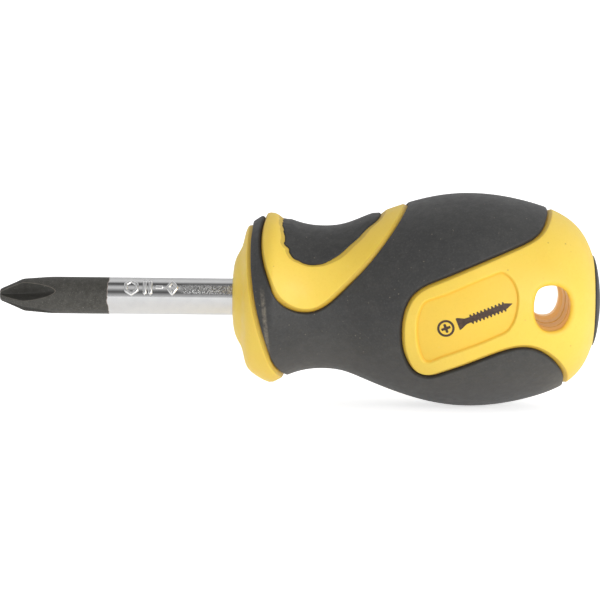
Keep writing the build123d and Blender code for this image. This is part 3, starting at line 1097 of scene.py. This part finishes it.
# ============================================================ materials
def yellow_plastic():
    m = Material("yellow_hard_plastic")
    big = m.noise(scale=0.09)
    base = m.mix((0.905, 0.630, 0.083), (0.935, 0.672, 0.105), amount=m.spread(big))
    # painted shade: an occlusion mask turns crevices more orange, standing in for light that bleeds
    # through the plastic
    crevice_shade = m.remap(m.occlusion(reach=2.2), span=(0.45, 0.95), to=(0.75, 0.0))
    base = m.mix(base, (0.86, 0.44, 0.022), amount=crevice_shade)
    # painted shade: the recess floor is painted a deeper yellow, with a deeper orange line of
    # painted shade along the foot of its wall
    into = m.attribute("recess_mm")
    floor = m.ease(into, span=(0.02, 0.22))
    base = m.mix(base, (0.91, 0.585, 0.062), amount=m.times(floor, 0.55))
    foot = m.times(m.ease(into, span=(0.0, 0.16)), m.ease(into, span=(0.20, 0.52), to=(1.0, 0.0)))
    base = m.mix(base, (0.90, 0.46, 0.018), amount=m.times(foot, 0.45))
    # painted shade on the moulded edges: olive on the chamfers, and a brown painted shadow right at
    # the joint
    wobble = m.times(m.minus(m.noise(scale=1.3, detail=3.0, rough=0.6), 0.5), 0.28)
    edge, inner = m.attribute("edge_mm"), m.attribute("inner_edge_mm")
    chamfer = m.math(
        "MAXIMUM",
        m.ease(m.plus(edge, m.times(wobble, 0.3)), span=(0.60, 0.78), to=(1.0, 0.0)),
        m.ease(m.plus(inner, wobble), span=(0.80, 1.10), to=(1.3, 0.0)))
    base = m.mix(base, (0.53, 0.345, 0.042), amount=m.times(chamfer, 0.50))
    # painted shadow: brown line in the groove where the yellow meets the soft plastic
    joint = m.math(
        "MAXIMUM",
        m.ease(m.plus(edge, wobble), span=(0.02, 0.26), to=(1.0, 0.0)),
        m.ease(m.plus(inner, wobble), span=(0.02, 0.16), to=(0.35, 0.0)))
    base = m.mix(base, (0.30, 0.14, 0.02), amount=m.times(joint, 0.60))
    # painted glow: an amber band of painted light round the rim of the hole
    lip = m.ease(m.attribute("lip_mm"), span=(0.10, 0.95), to=(1.0, 0.0))
    base = m.mix(base, (0.95, 0.57, 0.045), amount=m.times(lip, 0.55))
    # rare brown specks of dirt, denser in a patch below and behind the hole
    chance, from_centre = m.cells(scale=1.05)
    x, _, z = m.split(m.mm)
    off_x, off_z = m.math("ABSOLUTE", m.minus(x, 92.9)), m.math("ABSOLUTE", m.plus(z, 5.2))
    patch = m.times(m.ease(off_x, span=(0.5, 1.3), to=(1.0, 0.0)),
                    m.ease(off_z, span=(1.2, 2.6), to=(1.0, 0.0)))
    rare = m.remap(m.plus(chance, m.times(patch, 0.32)), span=(0.93, 0.95))
    dot = m.remap(from_centre, span=(0.10, 0.20), to=(1.0, 0.0))
    area = m.math("MAXIMUM", patch, m.remap(m.noise(scale=0.25), span=(0.5, 0.6)))
    speck = m.times(m.times(rare, dot), area)
    base = m.mix(base, (0.40, 0.20, 0.05), amount=m.times(speck, 0.55))
    # fine tone-on-tone mottling of the moulded skin
    mottle = m.remap(m.noise(scale=2.4, detail=3.0, rough=0.7), span=(0.30, 0.50), to=(0.16, 0.0))
    base = m.mix(base, (0.78, 0.50, 0.05), amount=mottle)
    # faint handling scuffs
    scuff = m.remap(m.noise(scale=1.1, detail=4.0, rough=0.7), span=(0.62, 0.78), to=(0.0, 0.10))
    base = m.mix(base, (0.95, 0.80, 0.40), amount=scuff)
    normal = m.bump(m.noise(scale=4.2, detail=3.0, rough=0.6), strength=0.18, depth=0.05)
    normal = m.bump(m.noise(scale=0.35, detail=1.0), strength=0.10, depth=0.35, normal=normal)
    m.set(Base_Color=base, Normal=normal, IOR=1.46,
          Roughness=m.spread(m.noise(scale=0.8, detail=3.0), to=(0.40, 0.52)),
          Subsurface_Weight=0.12, Subsurface_Radius=(1.0, 0.45, 0.08), Subsurface_Scale=0.9 * MM)
    return m.material


def soft_plastic(name, dust=1.0, tone=1.0):
    m = Material(name)
    base = m.mix((0.036 * tone, 0.036 * tone, 0.036 * tone),
                 (0.046 * tone, 0.046 * tone, 0.045 * tone),
                 amount=m.spread(m.noise(scale=0.12, detail=3.0)))
    x, _, z = m.split(m.mm)
    # fine pale dust caught in the matt surface
    chance, from_centre = m.cells(scale=1.5)
    keep = m.times(m.remap(chance, span=(0.79, 0.83)),
                   m.remap(m.noise(scale=0.22), span=(0.40, 0.60), to=(0.25, 1.0)))
    dot = m.times(m.remap(from_centre, span=(0.08, 0.20), to=(1.0, 0.0)), keep)
    base = m.mix(base, (0.27, 0.235, 0.17), amount=m.times(dot, 0.55 * dust))
    # light and dark grit
    grit = m.noise(scale=3.2, rough=0.6)
    light = m.remap(grit, span=(0.52, 0.75), to=(0.0, 0.28))
    base = m.mix(base, (0.11, 0.105, 0.10), amount=light)
    dark = m.remap(grit, span=(0.25, 0.45), to=(0.45, 0.0))
    base = m.mix(base, (0.024, 0.024, 0.024), amount=dark)
    # pale dust in clouds, plus painted light from the floor that makes faces which look down paler
    facing_z = m.split(m.node("NewGeometry", {}).outputs["True Normal"])[2]
    # painted light: paler where the face looks down, towards the bright floor
    under = m.ease(facing_z, span=(-0.15, -0.85), to=(0.0, 0.42))
    cloud = m.remap(m.noise(scale=0.5, detail=4.0, rough=0.65), span=(0.48, 0.78),
                    to=(0.0, 0.22 * dust))
    dust_and_floor_light = m.math("ADD", cloud, under, clamp=True)
    base = m.mix(base, (0.105, 0.100, 0.092), amount=dust_and_floor_light)
    # rubbed streak on the narrow band behind the collar
    off_line = m.math("ABSOLUTE", m.minus(x, m.plus(43.15, m.times(z, -0.10))))
    streak = m.times(m.ease(off_line, span=(0.10, 0.50), to=(1.0, 0.0)),
                     m.times(m.ease(z, span=(3.5, 0.5)), m.ease(z, span=(-9.0, -6.0))))
    worn = m.remap(m.noise(scale=1.6, detail=4.0, rough=0.7), span=(0.35, 0.65), to=(0.15, 0.85))
    streak = m.times(streak, worn)
    base = m.mix(base, (0.26, 0.225, 0.17), amount=m.times(streak, 0.85))
    # painted shadow: dark line along the joint
    joint = m.ease(m.attribute("edge_mm"), span=(0.10, 0.42), to=(1.0, 0.0))
    base = m.mix(base, (0.010, 0.007, 0.004), amount=m.times(joint, 0.75))
    normal = m.bump(m.noise(scale=3.6, detail=3.0, rough=0.65), strength=0.32, depth=0.06)
    normal = m.bump(m.noise(scale=0.4), strength=0.12, depth=0.3, normal=normal)
    m.set(Base_Color=base, Normal=normal, IOR=1.5, Sheen_Weight=0.06, Sheen_Roughness=0.5,
          Roughness=m.spread(m.noise(scale=0.9, detail=3.0), to=(0.52, 0.66)))
    return m.material


def core_plastic():
    m = Material("tan_core_plastic")
    cloud = m.noise(scale=0.7, detail=3.0, rough=0.6)
    base = m.mix((0.70, 0.47, 0.150), (0.82, 0.61, 0.24), amount=m.spread(cloud))
    x, y, z = m.split(m.mm)
    # flow marks, finer across the handle
    flow = m.noise(scale=0.9, detail=3.0, rough=0.6,
                   vector=m.stretched(m.times(x, 0.9), m.times(y, 2.2), m.times(z, 0.9)))
    base = m.mix(base, (0.58, 0.29, 0.065), amount=m.remap(flow, span=(0.40, 0.72), to=(0.0, 0.50)))
    # yellower away from the middle plane; painted light makes the far +Y side paler
    off_middle = m.ease(m.math("ABSOLUTE", y), span=(2.0, 11.5), to=(0.0, 0.80))
    base = m.mix(base, (0.86, 0.54, 0.095), amount=off_middle)
    far_side_light = m.ease(y, span=(6.7, 7.1))
    base = m.mix(base, (0.80, 0.62, 0.36), amount=m.times(far_side_light, 0.88))
    # painted shade: dark brown in crevices, from an occlusion mask
    crevice_shade = m.remap(m.occlusion(reach=0.28), span=(0.25, 0.66), to=(0.80, 0.0))
    base = m.mix(base, (0.24, 0.10, 0.025), amount=crevice_shade)
    # painted glow: the plastic emits its own colour, more on the far side, standing in for light
    # that soaks through from the rim
    m.set(Emission_Color=m.mix(base, base, amount=1.0),
          Emission_Strength=m.remap(far_side_light, span=(0.0, 1.0), to=(0.20, 0.30)))
    normal = m.bump(flow, strength=0.35, depth=0.12)
    normal = m.bump(m.noise(scale=3.0), strength=0.15, depth=0.05, normal=normal)
    m.set(Base_Color=base, Roughness=m.spread(cloud, to=(0.36, 0.5)), Normal=normal,
          Subsurface_Weight=0.10, Subsurface_Radius=(1.0, 0.5, 0.2), Subsurface_Scale=0.8 * MM)
    return m.material


def blade_steel():
    m = Material("blade_steel")
    x, y, z = m.split(m.mm)
    angle = m.angle(y, z)
    # the phosphated zone ends in a ragged line, a little longer above and below
    high = m.math("DIVIDE", z, SHAFT_R)
    end = m.plus(17.62, m.times(m.times(high, high), 0.26))
    rag = m.noise(scale=1.5, detail=3.0, rough=0.6, vector=m.stretched(m.times(x, 0.25), y, z))
    beyond = m.minus(x, m.plus(end, m.times(m.minus(rag, 0.5), 0.55)))
    dark = m.remap(beyond, span=(-0.02, 0.03), to=(1.0, 0.0))
    rim = m.times(m.remap(beyond, span=(-0.02, 0.02)),
                  m.remap(beyond, span=(0.03, 0.11), to=(1.0, 0.0)))
    # phosphate: cloudy dark grey with fine pale grain and flecks
    cloud = m.noise(scale=1.3, detail=5.0, rough=0.7)
    coat = m.mix((0.040, 0.038, 0.033), (0.082, 0.079, 0.069),
                 amount=m.remap(cloud, span=(0.3, 0.72)))
    fine = m.remap(m.noise(scale=6.0), span=(0.58, 0.72), to=(0.0, 0.6))
    coat = m.mix(coat, (0.17, 0.16, 0.14), amount=fine)
    chance, from_centre = m.cells(scale=1.6)
    fleck = m.times(m.remap(chance, span=(0.82, 0.86)),
                    m.remap(from_centre, span=(0.08, 0.20), to=(1.0, 0.0)))
    coat = m.mix(coat, (0.26, 0.25, 0.22), amount=m.times(fleck, 0.7))
    # painted shade darkens the flutes, and a painted highlight runs along their rims
    flute = m.attribute("flute_mm")
    coat = m.mix(coat, (0.018, 0.018, 0.015), amount=m.ease(flute, (0.03, 0.14), to=(0.0, 0.50)))
    rim_highlight = m.times(m.ease(flute, span=(0.004, 0.014)),
                       m.ease(flute, span=(0.03, 0.07), to=(1.0, 0.0)))
    rim_highlight = m.times(rim_highlight, m.remap(cloud, span=(0.3, 0.6), to=(0.5, 1.0)))
    coat = m.mix(coat, (0.20, 0.175, 0.145), amount=rim_highlight)
    # bright steel, with a pitted zone behind the raised marks
    across = m.times(m.ease(angle, span=(0.14, 0.30)),
                     m.ease(angle, span=(0.62, 0.86), to=(1.0, 0.0)))
    pitted = m.times(m.ease(x, span=(28.9, 30.4)), across)
    steel = m.mix((0.665, 0.665, 0.67), (0.71, 0.71, 0.71), amount=m.spread(m.noise(scale=0.6)))
    # painted glints: in the pitted zone the steel's colour swings from dark to bright
    grain = m.remap(m.noise(scale=5.2, rough=0.7), span=(0.42, 0.60))
    glint = m.mix((0.13, 0.13, 0.13), (0.98, 0.98, 0.97), amount=grain)
    steel = m.mix(steel, glint, amount=m.times(pitted, 0.80))
    base = m.mix(steel, coat, amount=dark)
    base = m.mix(base, (0.20, 0.10, 0.045), amount=m.times(rim, 0.75))
    metal = m.remap(m.math("ADD", dark, rim, clamp=True), span=(0.0, 1.0), to=(1.0, 0.12))
    # turning lines run round the bar
    turned = m.stretched(m.times(x, 6.0), m.times(y, 0.12), m.times(z, 0.12))
    turning = m.noise(scale=2.0, detail=4.0, rough=0.6, vector=turned)
    pits = m.times(m.minus(m.noise(scale=6.2, rough=0.6), 0.5), m.plus(pitted, 0.015))
    bare = m.plus(m.spread(turning, to=(0.09, 0.14)), m.times(pitted, 0.12))
    rough = m.mix(m.stretched(bare, bare, bare), (0.55, 0.55, 0.55), amount=dark)
    normal = m.bump(turning, strength=0.05, depth=0.02)
    normal = m.bump(pits, strength=0.6, depth=0.14, normal=normal)
    coat_grain = m.times(m.noise(scale=3.2, detail=4.0, rough=0.7), dark)
    normal = m.bump(coat_grain, strength=0.35, depth=0.10, normal=normal)
    m.set(Base_Color=base, Metallic=metal, Roughness=rough, Normal=normal)
    return m.material


def forged_marks():
    m = Material("forged_mark_steel")
    n = m.noise(scale=2.2, detail=3.0, rough=0.6)
    m.set(Base_Color=m.mix((0.86, 0.86, 0.86), (0.95, 0.95, 0.95), amount=m.spread(n)),
          Metallic=1.0, Roughness=m.spread(n, to=(0.26, 0.36)),
          Normal=m.bump(n, strength=0.35, depth=0.10))
    return m.material


def print_ink():
    m = Material("printed_ink")
    n = m.noise(scale=2.6, detail=4.0, rough=0.7)
    base = m.mix((0.040, 0.020, 0.014), (0.105, 0.060, 0.035),
                 amount=m.remap(n, span=(0.35, 0.75)))
    m.set(Base_Color=base, Roughness=m.spread(n, to=(0.42, 0.6)),
          Normal=m.bump(n, strength=0.15, depth=0.04))
    return m.material


yellow = yellow_plastic()
grip_black = soft_plastic("black_soft_grip")
thumb_black = soft_plastic("black_soft_thumb", dust=1.3, tone=0.78)
butt_black = soft_plastic("black_soft_butt", dust=0.7)
core_tan = core_plastic()
steel = blade_steel()
mark_steel = forged_marks()
ink_brown = print_ink()

# Each piece: its object, material, slot and the nodes it replaces.
for piece, material, slot, nodes in (
        (handle, yellow, "yellow_plastic", ["handle_body"]),
        (grip, grip_black, "black_tpr", ["grip_overmould"]),
        (thumb, thumb_black, "black_tpr", ["thumb_pad"]),
        (butt, butt_black, "black_tpr", ["butt_pad"]),
        (blade, steel, "blade_steel", ["blade"]),
        (marks, mark_steel, "blade_steel", []),
        (ink, ink_brown, "black_tpr", [])):
    piece.data.materials.append(material)
    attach(piece, "root")
    if nodes:
        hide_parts(*nodes)

# the core keeps its own mesh, which may come with or without material slots
inner_core = NODES["inner_core"]
for core_slot in inner_core.material_slots:
    core_slot.material = core_tan
if not inner_core.material_slots:
    inner_core.data.materials.append(core_tan)

# ============================================================ floor, in metres
FLOOR_Z = -17.42 * MM
SWEEP_Y, SWEEP_R, WALL_TOP = 0.9, 0.5, 1.7
FLOOR_X = np.linspace(-1.8, 1.9, 12)


def floor_material():
    """Pale, faintly glowing; away from the tool it looks darker in reflections."""
    m = Material("pale_floor")
    n = m.noise(scale=0.01)
    rays = m.node("LightPath", {}).outputs
    behind = m.ease(m.split(m.mm)[1], span=(60.0, 500.0))
    far = m.times(behind, rays["Is Glossy Ray"])
    glow = m.remap(rays["Is Camera Ray"], span=(0.0, 1.0), to=(0.36, 0.68))
    pale = m.mix((0.90, 0.90, 0.90), (0.92, 0.92, 0.92), amount=n)
    m.set(Base_Color=m.mix(pale, (0.55, 0.55, 0.55), amount=far),
          Roughness=0.9, Specular_IOR_Level=0.1, Emission_Color=(1, 1, 1, 1),
          Emission_Strength=m.times(glow, m.minus(1.0, m.times(far, 0.42))))
    return m.material


def backdrop():
    """Floor that sweeps up into a wall behind the tool."""
    line = [(y, 0.0) for y in (-1.6, -0.8, -0.2, 0.2, 0.6, SWEEP_Y)]
    for k in range(1, 13):
        a = math.radians(90 * k / 12)
        line.append((SWEEP_Y + SWEEP_R * math.sin(a), SWEEP_R * (1 - math.cos(a))))
    line += [(SWEEP_Y + SWEEP_R, 1.0), (SWEEP_Y + SWEEP_R, WALL_TOP)]
    points = [(float(x), y, z + FLOOR_Z) for y, z in line for x in FLOOR_X]
    w = len(FLOOR_X)
    faces = [(j * w + i, j * w + i + 1, (j + 1) * w + i + 1, (j + 1) * w + i)
             for j in range(len(line) - 1) for i in range(w - 1)]
    me = bpy.data.meshes.new("floor_sweep")
    me.from_pydata(points, [], faces)
    me.polygons.foreach_set("use_smooth", [True] * len(faces))
    o = bpy.data.objects.new("floor_sweep", me)
    bpy.context.scene.collection.objects.link(o)
    me.materials.append(floor_material())


backdrop()


# ============================================================ light
def key_light():
    """Low area light to the right of the camera, aimed at the tool's middle."""
    place, aim = Vector((0.55, -0.55, 0.12)), Vector((0.06, 0, 0))
    light = bpy.data.lights.new("key_right_low", "AREA")
    light.shape = "RECTANGLE"
    light.size = light.size_y = 0.45
    light.energy = 3.0
    o = bpy.data.objects.new("key_right_low", light)
    o.location = place
    o.rotation_euler = (aim - place).to_track_quat("-Z", "Y").to_euler()
    bpy.context.scene.collection.objects.link(o)


key_light()

# Sky brightness round the tool's axis: (degrees, brightness); 0 is the camera side, 90 overhead.
# Reflections see the edges of soft boxes, broad light is smoother.
SHARP_SKY = [
    (-180, 0.95), (-25, 0.95), (-8, 0.80), (5, 0.60), (16, 0.36), (27, 0.10), (38, 0.24),
    (54, 0.74), (64, 0.66), (76, 0.20), (86, 0.07), (95, 0.34), (106, 0.80), (150, 0.74),
    (180, 0.70)]
BROAD_SKY = [
    (-180, 1.0), (-60, 1.05), (-10, 0.78), (30, 0.56), (90, 0.54), (130, 0.80), (180, 1.0)]


def sky_ramp(w, turn, stops):
    ramp = w.node("ValToRGB", {0: turn})
    elements = ramp.color_ramp.elements
    while len(elements) < len(stops):
        elements.new(0.5)
    for element, (degrees, value) in zip(elements, stops):
        element.position = (degrees + 180) / 360
        element.color = (value, value, value, 1)
    return ramp.outputs[0]


def studio_world():
    world = bpy.data.worlds.new("studio")
    bpy.context.scene.world = world
    world.use_nodes = True
    w = Shader(world.node_tree, "Background")
    x, y, z = w.split(w.node("TexCoord", {}).outputs["Generated"])
    turn = w.remap(w.angle(y, z), span=(-math.pi, math.pi))
    sharp, broad = sky_ramp(w, turn, SHARP_SKY), sky_ramp(w, turn, BROAD_SKY)
    glossy = w.node("LightPath", {}).outputs["Is Glossy Ray"]
    # slightly brighter towards the butt
    strength = w.times(w.remap(x, span=(-1.0, 1.0), to=(0.93, 1.04)), 1.0)
    w.set(Color=w.mix(broad, sharp, amount=glossy), Strength=strength)


studio_world()

# ============================================================ camera
ELEVATION = math.radians(5.0)
ROLL = math.radians(0.585)
CAMERA_DISTANCE = 540.0
VIEW_WIDTH = 98.04      # width seen at the target
CAMERA_TARGET = Vector((0.049, 0.0, -0.00042))     # metres
SENSOR_WIDTH = 36.0


def add_camera():
    back = Vector((0, -math.cos(ELEVATION), math.sin(ELEVATION)))
    right = Vector((1, 0, 0))
    up = back.cross(right)
    rolled_right = right * math.cos(ROLL) + up * math.sin(ROLL)
    rolled_up = -right * math.sin(ROLL) + up * math.cos(ROLL)
    data = bpy.data.cameras.new("camera")
    data.sensor_width = SENSOR_WIDTH
    data.lens = SENSOR_WIDTH * CAMERA_DISTANCE / VIEW_WIDTH
    data.clip_start = 0.01
    camera = bpy.data.objects.new("camera", data)
    turn = Matrix((rolled_right, rolled_up, back)).transposed().to_4x4()
    place = CAMERA_TARGET + back * (CAMERA_DISTANCE * MM)
    camera.matrix_world = Matrix.Translation(place) @ turn
    bpy.context.scene.collection.objects.link(camera)
    bpy.context.scene.camera = camera


add_camera()
bpy.context.scene.view_settings.view_transform = "Standard"
